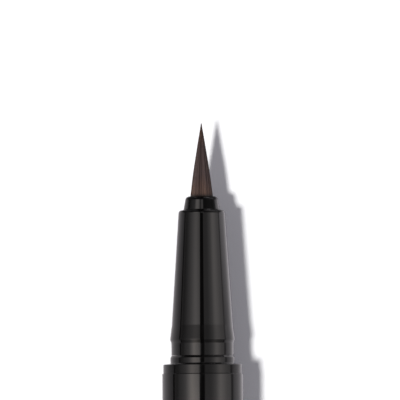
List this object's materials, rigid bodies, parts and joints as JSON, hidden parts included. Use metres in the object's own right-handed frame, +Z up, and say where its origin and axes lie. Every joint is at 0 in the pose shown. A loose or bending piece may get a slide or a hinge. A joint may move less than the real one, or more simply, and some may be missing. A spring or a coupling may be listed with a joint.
{
  "type": "eyebrow pen",
  "caption": "Liquid eyebrow pen with a tapered brush tip, a stepped collar and a pull-off cap with a sprung inner cap; it lies on its side, uncapped.",
  "frame": {"origin": "on the surface that the pen lies on, under the middle of the length of the pen and its cap as they lie", "axes": "+X along the pen towards the brush and the cap, +Z up"},
  "size_m": [0.1854, 0.01, 0.01],
  "materials": {
    "gloss_black": "polished injection-moulded black",
    "satin_black": "black, slightly less polished",
    "natural_plastic": "natural polypropylene",
    "white_plastic": "white polyethylene",
    "collector_resin": "plain moulded resin",
    "seal_rubber": "soft, matt",
    "core_fibre": "bonded fibre rod soaked with ink",
    "filament": "fine dark-brown brush filaments",
    "steel": "bright stainless steel"
  },
  "bodies": {
    "pen": {"tail_plug": "gloss_black", "barrel": "gloss_black", "ink_tank": "natural_plastic", "tank_seal": "seal_rubber", "coupling": "satin_black", "section_seal": "seal_rubber", "comb_collector": "collector_resin", "core_sleeve": "natural_plastic", "feed_core": "core_fibre", "front_section": "gloss_black", "nozzle": "satin_black", "brush_heel": "natural_plastic", "brush_tip": "filament"},
    "cap": {"cap_shell": "gloss_black", "cap_crown": "gloss_black", "inner_cap_guide": "white_plastic", "inner_cap_spring": "steel"},
    "sprung_inner_cap": {"inner_cap": "white_plastic", "inner_cap_seal": "seal_rubber"},
    "mixing_ball": {"stirring_ball": "steel"}
  },
  "joints": [
    {"name": "cap_pull", "type": "slide", "parent": "pen", "child": "cap", "axis": [1, 0, 0], "range_m": [-0.04725, 0]},
    {"name": "inner_cap_travel", "type": "slide", "parent": "cap", "child": "sprung_inner_cap", "axis": [1, 0, 0], "range_m": [0, 0.0012], "stiffness_N_per_m": 250, "springref_m": -0.002, "deforming": ["inner_cap_spring"]},
    {"name": "ball_roll", "type": "slide", "parent": "pen", "child": "mixing_ball", "axis": [1, 0, 0], "range_m": [-0.0195, 0.0502]}
  ]
}
